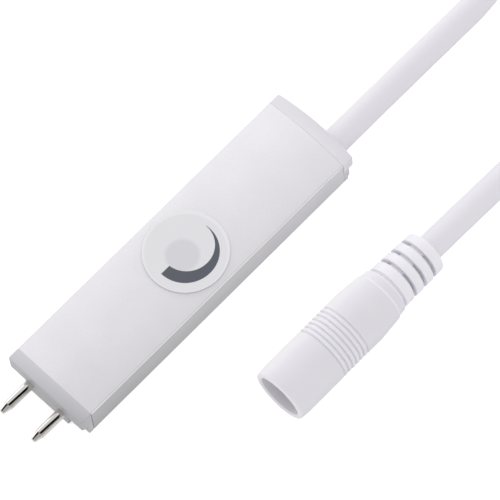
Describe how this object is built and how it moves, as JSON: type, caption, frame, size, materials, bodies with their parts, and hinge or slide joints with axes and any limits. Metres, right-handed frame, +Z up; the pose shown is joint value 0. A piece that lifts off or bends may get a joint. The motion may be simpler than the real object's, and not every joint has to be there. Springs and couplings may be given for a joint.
{
  "type": "touch dimmer switch",
  "caption": "Slim inline touch dimmer: aluminium bar with a round touch disc, contact pins at one end and a lead with a round power socket at the other.",
  "frame": {"origin": "centre of the housing's bottom face, on the surface that it rests on", "axes": "+X along the housing towards its cord end, +Y across it away from the connector, +Z up through the touch disc"},
  "size_m": [0.1781, 0.0601, 0.0107],
  "materials": {
    "housing_metal": "fine satin anodised",
    "cap_plastic": "light grey moulded",
    "pin_cap_plastic": "mid grey moulded",
    "disc_plastic": "milky translucent, satin",
    "slate_print": "printed ink",
    "pin_metal": "nickel plated",
    "contact_metal": "nickel plated",
    "spring_metal": "drawn wire",
    "board_laminate": "solder mask",
    "chip_black": "moulded epoxy",
    "chip_ceramic": "sintered ceramic",
    "lamp_plastic": "clear epoxy",
    "cord_sheath": "white soft PVC, satin",
    "red_insulation": "soft PVC",
    "black_insulation": "soft PVC",
    "socket_plastic": "white moulded PVC, satin",
    "core_plastic": "white moulded"
  },
  "bodies": {
    "switch": {"housing": "housing_metal", "base_cover": "cap_plastic", "pin_end_cap": "pin_cap_plastic", "cord_end_cap": "cap_plastic", "left_pin": "pin_metal", "right_pin": "pin_metal", "touch_disc": "disc_plastic", "level_arc": "slate_print", "touch_spring": "spring_metal", "circuit_board": "board_laminate", "indicator_led": "lamp_plastic", "touch_controller": "chip_black", "power_mosfet": "chip_black", "supply_diode": "chip_black", "chip_capacitors": "chip_ceramic", "chip_resistors": "chip_black", "cord_stop": "socket_plastic", "cord_entry": "cord_sheath", "supply_wire": "red_insulation", "return_wire": "black_insulation", "power_cord": "cord_sheath", "socket_overmould": "socket_plastic", "socket_insulator": "core_plastic", "sleeve_contact": "contact_metal", "centre_pin": "contact_metal", "strain_relief": "socket_plastic", "cord_tail": "cord_sheath", "socket_supply_wire": "red_insulation", "socket_return_wire": "black_insulation"},
    "leaf": {"leaf_contact": "contact_metal"}
  },
  "joints": [
    {"name": "leaf_flex", "type": "hinge", "parent": "switch", "child": "leaf", "pos_m": [0.0054, -0.029, 0.00833], "axis": [0, 1, 0], "range_deg": [0, 4], "stiffness_Nm_per_rad": 0.12}
  ]
}
